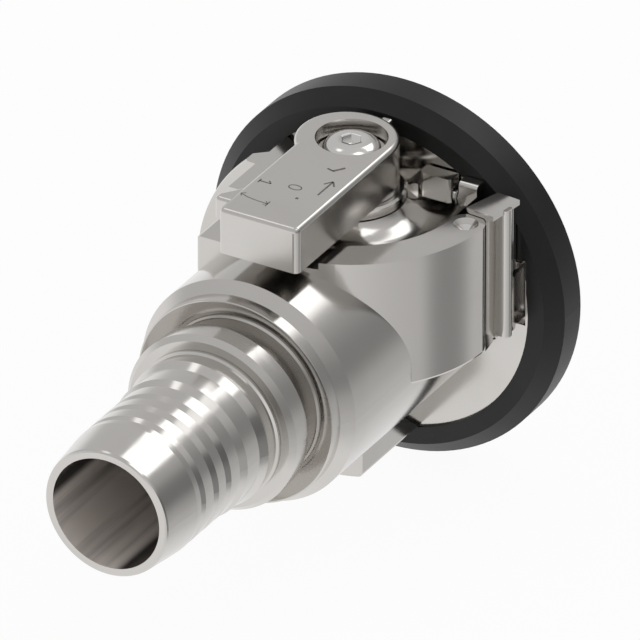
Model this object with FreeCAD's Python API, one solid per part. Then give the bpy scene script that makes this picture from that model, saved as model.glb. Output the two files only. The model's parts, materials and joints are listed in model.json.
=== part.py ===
"""Dry break coupling for a 65 mm bottom loading hose, built as separate solids.

Frame: the centre of the hose tail's open mouth is the origin, +Y runs along the
flow towards the nose that meets the adapter, +Z points up along the valve
spindle, and X is across. All sizes are in millimetres.
"""
import math
import os

import FreeCAD
import Part
from FreeCAD import Vector

# Flow line
BORE_R = 29.5
CHAMBER_R = 50.0
BARREL_R = CHAMBER_R + 9.5
SPINDLE_Y = 235.4

# Hose tail: a cone, four barbs, a stop shoulder and the swivel journal
TIP_R = 33.9
BARB_R = 36.4
BARB_ROOT_R = 34.7
BARB_TOPS = ((24.6, 28.3), (32.7, 40.0), (45.1, 51.7), (56.9, 64.9))
SHOULDER_R = 37.6
JOURNAL_R = 43.5
COLLAR_R = JOURNAL_R + 3.6
COLLAR_FACE_Y = 98.0
COLLAR_END_Y = 112.5
NECK_R = JOURNAL_R - 0.9

# Swivel bearing in the rear of the body
RUNNING_GAP = 0.08
LIP_Y = 122.5
LIP_R = BARREL_R - 5.0
MOUTH_Y = 130.5
BALL_R = 4.0
BALL_COUNT = 24
BALL_Y = 140.0
SEAL_Y = 147.0
SEAL_WIDTH = 3.0
SEAL_DEPTH = 3.0
WIPER_Y = 133.6
CHAMBER_Y = 152.5

# Lobed body
DRUM_R = BARREL_R + 15.0
LAND_Z = BARREL_R + 3.5
LOBE_FLOOR_Z = -7.0
LOBE_END_R = 9.5
DISH_R = 41.0
DISH_DEPTH_R = 16.2
DISH_TILT = math.radians(4.0)
CHANNEL_HALF = 22.5
LEFT_BLOCK_X = -46.5
LEFT_BLOCK_Y = 165.0
LEFT_BLOCK_Z = BARREL_R - 0.9
KEEL_HALF = 22.0
KEEL_Y = 208.0

# Nose, disc and rubber bumper ring
DISC_BACK_Y = 266.0
DISC_FRONT_Y = 276.0
DISC_R = BARREL_R + 22.5
FLANGE_R = DISC_R + 4.0
FLANGE_Y = 233.0
KEEL_R = DISC_R - 0.5
NOSE_R = CHAMBER_R + 14.0
NOSE_BORE_R = CHAMBER_R + 2.0
NOSE_SEAL_R = (NOSE_R + NOSE_BORE_R) / 2
NOSE_FACE_Y = 280.0
BUMPER_BACK_Y = 264.0
BUMPER_R = DISC_R + 16.5
BUMPER_BACK_R = BUMPER_R - 7.5
BUMPER_EDGE_Y = 287.0
BUMPER_LIP_R = DISC_R - 9.0
BUMPER_LIP_Y = 284.0
SCREW_COUNT = 6
SCREW_CIRCLE_R = DISC_R - 4.5

# Poppet valve
GUIDE_Y = 262.0
SEAT_Y = 269.0
SEAT_FACE_Y = 273.0
SEAT_OPENING_R = CHAMBER_R - 6.0
STEM_R = 8.0
STEM_TAIL_Y = 146.0
HEAD_R = CHAMBER_R
POPPET_SEAL_R = HEAD_R - 3.0
MOVING_GAP = 0.3
REAR_GUIDE_Y = 168.0
REAR_GUIDE_LENGTH = 20.0

# Rack and pinion
GEAR_MODULE = 1.25
PINION_TEETH = 20
PRESSURE_ANGLE = math.radians(20.0)
BACKLASH = 0.24
PINION_Z = (11.0, 21.0)
RACK_Z = (6.0, 20.4)
RACK_Y = (206.0, 241.8)

# Spindle, its bearings and the lever
SPINDLE_R = 11.0
BUSH_R = 14.0
BOSS_R = 19.0
BOSS_FLOOR_Z = 24.0
NECK_OUTER_R = 24.8
NECK_TOP_Z = BARREL_R + 0.5
GLAND_R = 26.6
GLAND_TOP_Z = NECK_TOP_Z + 5.2
LEVER_FLOOR_Z = GLAND_TOP_Z + 1.8
LEVER_TOP_Z = LEVER_FLOOR_Z + 24.6
LEVER_TIP_Y = 143.4
LEVER_RIGHT_X = 23.0
LEVER_LEFT_X = -21.3
LEVER_EDGE_R = 3.0
HUB_R = 25.6
HUB_X = -2.6
RECESS_R = 17.9
RECESS_Z = LEVER_TOP_Z - 10.0
SQUARE_DRIVE = 15.0
BOLT_HEAD_R = 14.4
BOLT_R = 5.0
WASHER_THICKNESS = 2.4

# Latches on their upright pins
LATCH_X = BARREL_R + 5.5
LATCH_Y = 233.0
LATCH_PIN_R = 4.2
LATCH_EYE_R = 7.4
LATCH_TOP_Z = LAND_Z + 3.0
LATCH_ARM_X = (LATCH_X + 4.5, LATCH_X + 11.3)
LATCH_ARM_Z = (-4.6, 26.0)
LATCH_HOOK_Y = 288.4
LATCH_TIP_Y = 292.8
LATCH_HOOK_X = LATCH_X - 2.5
LATCH_SPRING_Z = 4.9
LATCH_CAP = 2.7
LATCH_BEAD_R = 3.1
LATCH_BEAD_X = LATCH_X + 11.2
LATCH_BEAD_Y = LATCH_Y + 19.6

# Interlock pawl behind the spindle
PAWL_X = (25.5, 43.0)
PAWL_LUG_X = (47.6, 57.6)
PAWL_FRONT_Y = 256.6
PAWL_TOP_Z = BARREL_R + 9.5
PAWL_PIN_Y = 261.4
PAWL_PIN_Z = BARREL_R - 0.9
PAWL_PIN_R = 2.5

X_AXIS = Vector(1, 0, 0)
Y_AXIS = Vector(0, 1, 0)
Z_AXIS = Vector(0, 0, 1)
ORIGIN = Vector(0, 0, 0)


def turned(profile):
    """Return the solid swept about the flow axis by closed (y, radius) corners."""
    corners = [Vector(radius, y, 0) for y, radius in profile]
    face = Part.Face(Part.makePolygon(corners + corners[:1]))
    return face.revolve(ORIGIN, Y_AXIS, 360)


def turned_upright(profile, x=0.0, y=SPINDLE_Y):
    """Return the solid swept about an upright axis by closed (z, radius) corners."""
    corners = [Vector(x + radius, y, z) for z, radius in profile]
    face = Part.Face(Part.makePolygon(corners + corners[:1]))
    return face.revolve(Vector(x, y, 0), Z_AXIS, 360)


def rod_x(radius, start, end, y, z):
    """Return a rod across the flow."""
    return Part.makeCylinder(radius, end - start, Vector(start, y, z), X_AXIS)


def rod_y(radius, start, end, x=0.0, z=0.0):
    """Return a rod along the flow."""
    return Part.makeCylinder(radius, end - start, Vector(x, start, z), Y_AXIS)


def rod_z(radius, start, end, x=0.0, y=SPINDLE_Y):
    """Return an upright rod."""
    return Part.makeCylinder(radius, end - start, Vector(x, y, start), Z_AXIS)


def tube_y(outer, inner, start, end):
    """Return a ring along the flow."""
    return rod_y(outer, start, end).cut(rod_y(inner, start - 1, end + 1))


def tube_z(outer, inner, start, end, x=0.0, y=SPINDLE_Y):
    """Return an upright ring."""
    return rod_z(outer, start, end, x, y).cut(rod_z(inner, start - 1, end + 1, x, y))


def block(xs, ys, zs):
    """Return a box between three pairs of limits."""
    size = [span[1] - span[0] for span in (xs, ys, zs)]
    return Part.makeBox(size[0], size[1], size[2], Vector(xs[0], ys[0], zs[0]))


def slab(outline, bottom, top):
    """Return an upright prism on a closed plan outline of (x, y) corners."""
    corners = [Vector(x, y, bottom) for x, y in outline]
    face = Part.Face(Part.makePolygon(corners + corners[:1]))
    return face.extrude(Vector(0, 0, top - bottom))


def joined(first, *others):
    """Return one solid made of all the given ones."""
    return first.fuse(list(others)).removeSplitter()


def without(first, *tools):
    """Return the first solid less each of the others in turn."""
    for tool in tools:
        first = first.cut(tool)
    return first


def hollowed(first, *tools):
    """Return the first solid without the others, its split faces merged."""
    return without(first, *tools).removeSplitter()


def rounded(shape, radius, wanted):
    """Return the shape with the edges that pass the test rounded."""
    edges = [edge for edge in shape.Edges if wanted(edge)]
    return shape.makeFillet(radius, edges)


def is_upright(edge):
    """Tell whether an edge is straight and parallel to the spindle."""
    ends = [vertex.Point for vertex in edge.Vertexes]
    if len(ends) != 2:
        return False
    run = ends[1] - ends[0]
    return math.hypot(run.x, run.y) < 1e-6 and abs(run.z) > 1.0


def lies_at(edge, height):
    """Tell whether an edge lies in the level plane at a height."""
    box = edge.BoundBox
    return abs(box.ZMin - height) < 1e-4 and abs(box.ZMax - height) < 1e-4


def around_flow(shape, degrees):
    """Return a copy turned about the flow axis."""
    copy = shape.copy()
    copy.rotate(ORIGIN, Y_AXIS, degrees)
    return copy


def opposite(shape):
    """Return the copy half a turn round the flow axis."""
    return around_flow(shape, 180)


def hexagon(across_flats, start, end, x, y, upright=True):
    """Return a six-sided prism, upright or along the flow."""
    corner = across_flats / math.sqrt(3.0)
    points = []
    for step in range(7):
        angle = math.radians(60 * step + 30)
        a, b = corner * math.cos(angle), corner * math.sin(angle)
        points.append(Vector(x + a, y + b, start) if upright else Vector(x + a, start, y + b))
    run = Z_AXIS * (end - start) if upright else Y_AXIS * (end - start)
    return Part.Face(Part.makePolygon(points)).extrude(run)


def coil(wire_r, coil_r, pitch, length, base, axis):
    """Return a round-wire coil that starts on +X of its own axis."""
    helix = Part.makeHelix(pitch, length, coil_r)
    section = Part.Wire(Part.makeCircle(wire_r, Vector(coil_r, 0, 0), Vector(0, coil_r, pitch / 6.28)))
    shape = Part.Wire(helix.Edges).makePipeShell([section], True, True)
    shape.Placement = FreeCAD.Placement(base, FreeCAD.Rotation(Z_AXIS, axis))
    return shape


# Hose tail, revolved from tip to journal
def build_hose_tail():
    """Return the swivelling hose tail with its ball race."""
    outline = [(0.0, BORE_R), (0.0, TIP_R - 1.3), (0.4, TIP_R - 0.4), (1.4, TIP_R)]
    for start, end in BARB_TOPS:
        outline += [(start, BARB_R), (end, BARB_R), (end + 0.4, BARB_ROOT_R)]
    outline += [
        (70.3, SHOULDER_R), (82.0, SHOULDER_R - 0.2), (87.0, 39.5), (95.6, 38.6),
        (96.2, 39.9), (97.6, 39.9), (COLLAR_FACE_Y, 39.2),
        (COLLAR_FACE_Y, 44.5), (101.0, COLLAR_R),
        (COLLAR_END_Y - 0.4, COLLAR_R - 0.3), (COLLAR_END_Y, COLLAR_R - 0.8),
        (COLLAR_END_Y, NECK_R + 1.2), (COLLAR_END_Y + 2.5, NECK_R), (128.0, NECK_R),
        (MOUTH_Y - 1.5, JOURNAL_R), (CHAMBER_Y - 1.6, JOURNAL_R),
        (CHAMBER_Y - 0.6, JOURNAL_R - 1.0), (CHAMBER_Y - 0.6, 39.0), (128.0, BORE_R),
    ]
    race = Part.makeTorus(JOURNAL_R + RUNNING_GAP / 2, BALL_R, Vector(0, BALL_Y, 0), Y_AXIS)
    return hollowed(turned(outline), race)


def build_balls():
    """Return the swivel balls as one ring of spheres."""
    balls = []
    for step in range(BALL_COUNT):
        angle = 2 * math.pi * step / BALL_COUNT
        reach = JOURNAL_R + RUNNING_GAP / 2
        centre = Vector(reach * math.cos(angle), BALL_Y, reach * math.sin(angle))
        balls.append(Part.makeSphere(BALL_R - 0.02, centre))
    return Part.makeCompound(balls)


# Valve body
def build_barrel():
    """Return the outside of the round barrel, the disc and the nose."""
    outline = [
        (MOUTH_Y, JOURNAL_R + RUNNING_GAP), (LIP_Y + 0.5, LIP_R - 0.9), (LIP_Y + 0.5, LIP_R - 0.4),
        (LIP_Y + 0.9, LIP_R), (130.0, LIP_R), (136.0, BARREL_R), (DISC_BACK_Y, BARREL_R),
        (DISC_BACK_Y, DISC_R), (DISC_FRONT_Y, DISC_R), (DISC_FRONT_Y, NOSE_R),
        (NOSE_FACE_Y - 1, NOSE_R), (NOSE_FACE_Y, NOSE_R - 1), (NOSE_FACE_Y, 0), (MOUTH_Y, 0),
    ]
    return turned(outline)


def build_lobe():
    """Return one lobe: a drum wall that ends in a round boss about the latch pin."""
    edge = [(LOBE_FLOOR_Z, -1.4), (LOBE_FLOOR_Z + 0.4, -0.4), (LOBE_FLOOR_Z + 1.4, 0), (LAND_Z, 0)]
    wall = [(z, DRUM_R + step) for z, step in edge]
    boss = [(z, LOBE_END_R + step) for z, step in edge]
    drum = turned_upright([(LOBE_FLOOR_Z, 0)] + wall + [(LAND_Z, 0)])
    drum = drum.common(block((20, 90), (100, LATCH_Y), (-100, 100)))
    end = turned_upright([(LOBE_FLOOR_Z, 0)] + boss + [(LAND_Z, 0)], LATCH_X, LATCH_Y)
    return drum.fuse(end)


def ring_room():
    """Return the room that the rubber ring's back takes beyond the rim of the disc."""
    return tube_y(DISC_R + 30, DISC_R - 0.6, DISC_BACK_Y - 2.6, DISC_BACK_Y + 2)


def build_drum():
    """Return the right lobe with its shoulder, dished round the spindle's neck."""
    front = rod_z(DRUM_R, 0, LAND_Z).common(block((-1, 30), (100, SPINDLE_Y), (0, 100)))
    rear = block((0, DISH_R + DISH_DEPTH_R - 0.4), (SPINDLE_Y - 3, DISC_BACK_Y + 1), (0, LAND_Z))
    return build_lobe().fuse(front).fuse(rear.cut(ring_room()))


def spindle_dish():
    """Return the round hollow beside the spindle's neck, tilted so that it deepens to the right."""
    centre = Vector(0, SPINDLE_Y, LAND_Z + 4.7 + DISH_R * math.sin(DISH_TILT))
    bowl = Part.makeTorus(DISH_R, DISH_DEPTH_R, centre, Z_AXIS)
    bowl.rotate(centre, Y_AXIS, math.degrees(DISH_TILT))
    return bowl.common(block((8, 100), (100, DISC_BACK_Y), (0, LAND_Z + 20)))


def build_left_shoulder():
    """Return the left block, the left land and the round flange behind them."""
    front = block((LEFT_BLOCK_X, 4), (LEFT_BLOCK_Y, 212), (0, LEFT_BLOCK_Z))
    front = rounded(front, 3.0, lambda e: abs(e.CenterOfMass.x - LEFT_BLOCK_X) < 1e-3
                    and (is_upright(e) or lies_at(e, LEFT_BLOCK_Z)))
    land = block((-math.sqrt(DISC_R ** 2 - LAND_Z ** 2), 0), (207, DISC_BACK_Y), (0, LAND_Z))
    flange = turned([
        (FLANGE_Y, 0), (FLANGE_Y, FLANGE_R - 2.0), (FLANGE_Y + 0.6, FLANGE_R - 0.6),
        (FLANGE_Y + 2, FLANGE_R), (FLANGE_Y + 8, FLANGE_R), (FLANGE_Y + 13.5, DISC_R),
        (DISC_BACK_Y - 2.4, DISC_R), (DISC_BACK_Y - 2.4, 0),
    ])
    flange = flange.common(block((-100, -20), (200, 300), (9.5, LAND_Z)))
    return joined(front, land, flange)


def latch_cavity():
    """Return the room that one latch, its eye and its spring need in the lobe."""
    eye = rod_z(LATCH_EYE_R + 0.35, 3.7, 52.3, LATCH_X, LATCH_Y)
    throat = block((LATCH_X - 7.0, LATCH_X + LATCH_EYE_R + 0.35), (LATCH_Y, LATCH_Y + 17), (3.7, 52.3))
    pin = rod_z(LATCH_PIN_R, LOBE_FLOOR_Z - 1, LAND_Z + 1, LATCH_X, LATCH_Y)
    dimple = Part.makeCone(LATCH_PIN_R, 6.2, 2.4, Vector(LATCH_X, LATCH_Y, LAND_Z - 2.4), Z_AXIS)
    room = block((BARREL_R + 0.4, 110), (LATCH_Y + 6.5, DISC_BACK_Y),
                 (LOBE_FLOOR_Z - 0.6, LATCH_TOP_Z + 0.6))
    slot = block((LATCH_X + 1.5, LATCH_X + 14.6), (DISC_BACK_Y - 1, DISC_FRONT_Y + 1), (-6.2, 28.0))
    shell = room.cut(rod_z(9.5, -90, 130, LATCH_X, LATCH_Y))
    return [eye, throat, pin, dimple, shell, slot]


def build_keel():
    """Return the foot under the barrel."""
    foot = rod_y(KEEL_R, KEEL_Y, DISC_BACK_Y)
    foot = foot.common(block((-KEEL_HALF, KEEL_HALF), (KEEL_Y, DISC_BACK_Y), (-90, -40)))
    return rounded(foot, 3.0, lambda e: abs(e.CenterOfMass.z + KEEL_R * 0.965) < 2.5
                   and e.BoundBox.YLength > 20)


def build_body():
    """Return the valve body with every bore, groove and pocket cut."""
    flare = Part.makeTorus(NECK_OUTER_R + 8, 8.0, Vector(0, SPINDLE_Y, NECK_TOP_Z), Z_AXIS)
    neck = rod_z(NECK_OUTER_R + 8, 40, NECK_TOP_Z - 0.01).cut(flare).fuse(
        rod_z(NECK_OUTER_R, 40, NECK_TOP_Z))
    channel = block((-CHANNEL_HALF, CHANNEL_HALF), (150, SPINDLE_Y), (BARREL_R, 100))
    around = rod_z(31.0, BARREL_R, 100)
    rear_well = block((-38, 26), (SPINDLE_Y, DISC_BACK_Y), (BARREL_R, 100))
    shoulders = build_drum().fuse(build_left_shoulder()).cut(channel).cut(around).cut(rear_well)
    shoulders = shoulders.cut(spindle_dish())
    outside = build_barrel().fuse(shoulders).fuse(opposite(build_lobe())).fuse(build_keel())
    outside = without(outside, spindle_dish()).fuse(neck)
    lug = block(PAWL_LUG_X, (PAWL_FRONT_Y, DISC_BACK_Y + 1), (44, PAWL_TOP_Z + 0.6))
    lug = rounded(lug, 2.4, lambda e: e.CenterOfMass.y < PAWL_FRONT_Y + 0.1
                  and lies_at(e, PAWL_TOP_Z + 0.6))
    lug = lug.cut(ring_room())
    small_lug = block((19.0, PAWL_X[0] - 0.5), (PAWL_FRONT_Y, DISC_BACK_Y + 1), (44, BARREL_R + 2.5))
    outside = outside.fuse(lug).fuse(small_lug)
    inside = [
        turned([(CHAMBER_Y, 0), (CHAMBER_Y, CHAMBER_R), (SEAT_FACE_Y, CHAMBER_R),
                (SEAT_FACE_Y, NOSE_BORE_R), (NOSE_FACE_Y + 1, NOSE_BORE_R), (NOSE_FACE_Y + 1, 0)]),
        rod_y(JOURNAL_R + RUNNING_GAP, 120, CHAMBER_Y + 1),
        tube_y(JOURNAL_R + SEAL_DEPTH, JOURNAL_R - 3.5, SEAL_Y, SEAL_Y + SEAL_WIDTH),
        tube_y(JOURNAL_R + 2.2, JOURNAL_R - 3.5, WIPER_Y, WIPER_Y + 2.4),
        Part.makeTorus(JOURNAL_R + RUNNING_GAP / 2, BALL_R + 0.06, Vector(0, BALL_Y, 0), Y_AXIS),
        around_flow(rod_z(4.4, JOURNAL_R - 1, BARREL_R - 4.5, 0, BALL_Y), 225),
        around_flow(rod_z(6.6, BARREL_R - 5.0, BARREL_R + 5, 0, BALL_Y), 225),
        tube_y(NOSE_SEAL_R + 2.4, NOSE_SEAL_R - 2.4, NOSE_FACE_Y - 3.0, NOSE_FACE_Y + 1),
        rod_x(PAWL_PIN_R, 18, 70, PAWL_PIN_Y, PAWL_PIN_Z),
        rod_x(4.4, PAWL_X[1] - 0.5, PAWL_LUG_X[0], PAWL_PIN_Y, PAWL_PIN_Z),
    ]
    for step in range(SCREW_COUNT):
        hole = rod_y(2.1, DISC_BACK_Y + 1.5, DISC_FRONT_Y + 1, SCREW_CIRCLE_R)
        inside.append(around_flow(hole, 30 + 360 / SCREW_COUNT * step))
    inside += latch_cavity() + [opposite(tool) for tool in latch_cavity()]
    shell = without(outside, *inside[:2]).fuse(rod_z(BOSS_R, BOSS_FLOOR_Z, 52))
    spindle_bore = rod_z(BUSH_R, 0, NECK_TOP_Z + 5)
    return without(shell, spindle_bore, *inside[2:])


# Nose pieces
def build_bumper():
    """Return the rubber ring with its screw lip and latch windows."""
    chamfer = BUMPER_R - BUMPER_BACK_R
    outline = [
        (BUMPER_BACK_Y, DISC_R), (BUMPER_BACK_Y, BUMPER_BACK_R), (BUMPER_BACK_Y + chamfer, BUMPER_R),
        (BUMPER_EDGE_Y, BUMPER_R), (BUMPER_EDGE_Y + chamfer, BUMPER_BACK_R),
        (BUMPER_EDGE_Y + chamfer, DISC_R + 2), (BUMPER_LIP_Y, DISC_R - 2), (BUMPER_LIP_Y, BUMPER_LIP_R),
        (DISC_FRONT_Y, BUMPER_LIP_R), (DISC_FRONT_Y, DISC_R),
    ]
    window = block((LATCH_X - 5, LATCH_X + 16), (BUMPER_BACK_Y - 1, LATCH_TIP_Y + 7.2), (-9.0, 31.0))
    tools = [window, opposite(window)]
    for step in range(SCREW_COUNT):
        angle = 30 + 360 / SCREW_COUNT * step
        tools.append(around_flow(rod_y(2.6, DISC_FRONT_Y - 1, 300, SCREW_CIRCLE_R), angle))
        tools.append(around_flow(rod_y(4.3, BUMPER_LIP_Y - 4, 300, SCREW_CIRCLE_R), angle))
    return hollowed(turned(outline), *tools)


def build_bumper_screws():
    """Return the six screws that hold the bumper ring to the disc."""
    screws = []
    for step in range(SCREW_COUNT):
        head = rod_y(4.2, BUMPER_LIP_Y - 4, BUMPER_LIP_Y - 0.4, SCREW_CIRCLE_R)
        shank = rod_y(2.1, DISC_BACK_Y + 2, BUMPER_LIP_Y - 2, SCREW_CIRCLE_R)
        socket = hexagon(4.0, BUMPER_LIP_Y - 2.8, BUMPER_LIP_Y, SCREW_CIRCLE_R, 0, upright=False)
        screw = head.fuse(shank).cut(socket).removeSplitter()
        screws.append(around_flow(screw, 30 + 360 / SCREW_COUNT * step))
    return Part.makeCompound(screws)


def build_spider(start, length, rim_r, arms):
    """Return a guide: a hub round the stem, thin arms and a rim pressed in the bore."""
    end = start + length
    rim = tube_y(rim_r, rim_r - 4.5, start, end)
    hub = rod_y(STEM_R + 5, start, end)
    spokes = []
    for step in range(arms):
        spoke = block((STEM_R + 2, rim_r - 2), (start, end), (-2.5, 2.5))
        spokes.append(around_flow(spoke, 30 + 360 / arms * step))
    return hollowed(joined(rim, hub, *spokes), rod_y(STEM_R + RUNNING_GAP, start - 1, end + 1))


# Poppet, its rack and the pinion
def build_poppet_head():
    """Return the valve disc with its seal groove and nut recess."""
    back = SEAT_FACE_Y + MOVING_GAP
    front = NOSE_FACE_Y - 0.4
    outline = [
        (back - 3.0, STEM_R), (back - 3.0, 13.0), (back, 17.0), (back, HEAD_R - 1.5),
        (back + 1.5, HEAD_R), (front - 2.0, HEAD_R), (front, HEAD_R - 2.0), (front, 13.0),
        (front - 3.4, 13.0), (front - 3.4, STEM_R - 3),
        (back - 0.4, STEM_R - 3), (back - 0.4, STEM_R),
    ]
    groove = Part.makeTorus(POPPET_SEAL_R, 1.7, Vector(0, back + 1.4, 0), Y_AXIS)
    return hollowed(turned(outline), groove)


def build_poppet_stem():
    """Return the stem: a round tail, a flat carrier for the rack and a round shank."""
    back = SEAT_FACE_Y + MOVING_GAP
    tail = turned([(STEM_TAIL_Y, 0), (STEM_TAIL_Y, STEM_R - 1.5), (STEM_TAIL_Y + 1.5, STEM_R),
                   (back - 0.4, STEM_R), (back - 0.4, STEM_R - 3),
                   (NOSE_FACE_Y - 0.8, STEM_R - 3), (NOSE_FACE_Y - 0.8, 0)])
    carrier = block((-22.0, STEM_R), RACK_Y, (-RACK_Z[0], RACK_Z[0]))
    carrier = rounded(carrier, 3.0, is_upright)
    holes = [rod_z(1.6, -RACK_Z[0] - 1, RACK_Z[0] + 1, -18.6, y) for y in (213.0, 235.0)]
    return hollowed(joined(tail, carrier), *holes)


def build_rack():
    """Return the toothed bar that stands on the carrier."""
    pitch = math.pi * GEAR_MODULE
    pitch_x = -GEAR_MODULE * PINION_TEETH / 2
    tip_x = pitch_x + GEAR_MODULE * 0.96
    root_x = pitch_x - GEAR_MODULE * 1.2
    half = pitch / 4 - BACKLASH / 4
    slope = math.tan(PRESSURE_ANGLE)
    outline = [(-22.0, RACK_Y[0] + 1)]
    count = int((RACK_Y[1] - RACK_Y[0] - 4) / pitch)
    first = math.ceil((RACK_Y[0] + 3 - SPINDLE_Y) / pitch)
    for step in range(first, first + count):
        middle = SPINDLE_Y + step * pitch
        if middle + half + 1.2 > RACK_Y[1] - 0.5:
            break
        root_half = half + (pitch_x - root_x) * slope
        tip_half = half - (tip_x - pitch_x) * slope
        if step == first:
            outline.append((root_x, RACK_Y[0] + 1))
        outline += [(root_x, middle - root_half), (tip_x, middle - tip_half)]
        outline += [(tip_x, middle + tip_half), (root_x, middle + root_half)]
    outline += [(root_x, RACK_Y[1] - 0.4), (-22.0, RACK_Y[1] - 0.4)]
    bar = slab(outline, RACK_Z[0], RACK_Z[1])
    holes = [rod_z(1.6, 0, RACK_Z[0] + 9, -18.6, y) for y in (213.0, 235.0)]
    return hollowed(bar, *holes)


def involute_point(base_r, radius, turn):
    """Return the point of an involute at a radius, turned by an angle."""
    pressure = math.acos(base_r / radius)
    polar = math.tan(pressure) - pressure + turn
    return radius * math.cos(polar), radius * math.sin(polar)


def build_pinion():
    """Return the toothed wheel keyed to the foot of the spindle."""
    pitch_r = GEAR_MODULE * PINION_TEETH / 2
    base_r = pitch_r * math.cos(PRESSURE_ANGLE)
    tip_r = pitch_r + GEAR_MODULE * 0.96
    root_r = pitch_r - GEAR_MODULE * 1.22
    half_tooth = (math.pi * GEAR_MODULE / 2 - BACKLASH / 2) / 2 / pitch_r
    lead = half_tooth + math.tan(PRESSURE_ANGLE) - PRESSURE_ANGLE
    outline = []
    for tooth in range(PINION_TEETH):
        middle = math.pi + 2 * math.pi * (tooth + 0.5) / PINION_TEETH
        flank = []
        for step in range(5):
            radius = base_r * 1.0005 + (tip_r - base_r * 1.0005) * step / 4
            flank.append(involute_point(base_r, radius, -lead))
        flank.insert(0, (root_r * math.cos(-lead), root_r * math.sin(-lead)))
        side = [(x, -y) for x, y in reversed(flank)]
        for x, y in flank + side:
            outline.append((x * math.cos(middle) - y * math.sin(middle),
                            SPINDLE_Y + x * math.sin(middle) + y * math.cos(middle)))
    wheel = slab(outline, PINION_Z[0], PINION_Z[1])
    return hollowed(wheel, rod_z(7.0, 0, 30), key_seat())


def key_seat():
    """Return the space of the key between spindle and pinion."""
    return block((-2.0, 2.0), (SPINDLE_Y + 4.5, SPINDLE_Y + 8.8), (PINION_Z[0], PINION_Z[1]))


def build_spindle():
    """Return the stepped spindle with its square head and threaded hole."""
    foot = PINION_Z[0] - 2.3
    shaft = turned_upright([
        (foot, 0), (foot, 6.4), (foot + 0.6, 7.0), (foot + 1.2, 7.0), (foot + 1.2, 6.0),
        (PINION_Z[0], 6.0), (PINION_Z[0], 7.0), (PINION_Z[1], 7.0), (PINION_Z[1], SPINDLE_R),
        (LEVER_FLOOR_Z - 1, SPINDLE_R), (LEVER_FLOOR_Z - 1, 0),
    ])
    half = SQUARE_DRIVE / 2
    head = block((-half, half), (SPINDLE_Y - half, SPINDLE_Y + half), (60, RECESS_Z - 0.4))
    head = rounded(head, 1.5, is_upright)
    return hollowed(joined(shaft, head), rod_z(BOLT_R, 62, 100), key_seat())


# Lever with its fastening
def build_lever():
    """Return the deep hand lever with its hub, bolt recess and thumb tab."""
    arm = block((LEVER_LEFT_X, LEVER_RIGHT_X), (LEVER_TIP_Y, SPINDLE_Y), (LEVER_FLOOR_Z, LEVER_TOP_Z))
    hub = rod_z(HUB_R, LEVER_FLOOR_Z, LEVER_TOP_Z, HUB_X)
    tab = slab([(-18, 153.2), (-29.2, 153.2), (-29.2, 158.0), (-18, 173.0)],
               LEVER_TOP_Z - 12.6, LEVER_TOP_Z - 0.6)
    tab = rounded(tab, 2.4, lambda e: is_upright(e) and e.CenterOfMass.x < -25)
    tab = rounded(tab, 2.2, lambda e: lies_at(e, LEVER_TOP_Z - 0.6) and e.CenterOfMass.x < -21)
    stop = block((2.6, 8.4), (SPINDLE_Y + 20, SPINDLE_Y + 26.0), (LEVER_TOP_Z - 6, LEVER_TOP_Z - 0.2))
    stop = rounded(stop, 1.2, lambda e: True)
    plan = joined(arm, hub)
    plan = rounded(plan, LEVER_EDGE_R, lambda e: is_upright(e) and e.CenterOfMass.y < 150)
    plan = rounded(plan, LEVER_EDGE_R - 0.4, lambda e: lies_at(e, LEVER_TOP_Z))
    solid = joined(plan, tab, stop)
    half = SQUARE_DRIVE / 2 + 0.03
    drive = block((-half, half), (SPINDLE_Y - half, SPINDLE_Y + half), (60, RECESS_Z + 1))
    recess = rod_z(RECESS_R, RECESS_Z, 100)
    return hollowed(solid, drive, recess)


def build_lever_bolt():
    """Return the button head bolt with its hexagon socket."""
    seat = RECESS_Z + WASHER_THICKNESS
    button = turned_upright([
        (seat, 0), (seat, BOLT_HEAD_R - 0.6), (seat + 0.6, BOLT_HEAD_R), (seat + 1.4, BOLT_HEAD_R),
        (seat + 3.2, BOLT_HEAD_R - 1.0), (seat + 5.0, BOLT_HEAD_R - 3.2),
        (seat + 6.2, BOLT_HEAD_R - 6.0), (seat + 6.6, BOLT_HEAD_R - 7.4), (seat + 6.6, 0),
    ])
    shank = rod_z(BOLT_R, 63, seat + 1)
    socket = hexagon(8.6, seat + 1.6, seat + 10, 0, SPINDLE_Y)
    return hollowed(joined(button, shank), socket)


# Latches
def latch_slab(outline, low, high):
    """Return an upright slab whose corners are measured from the latch pin."""
    return slab([(LATCH_X + x, LATCH_Y + y) for x, y in outline], low, high)


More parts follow.
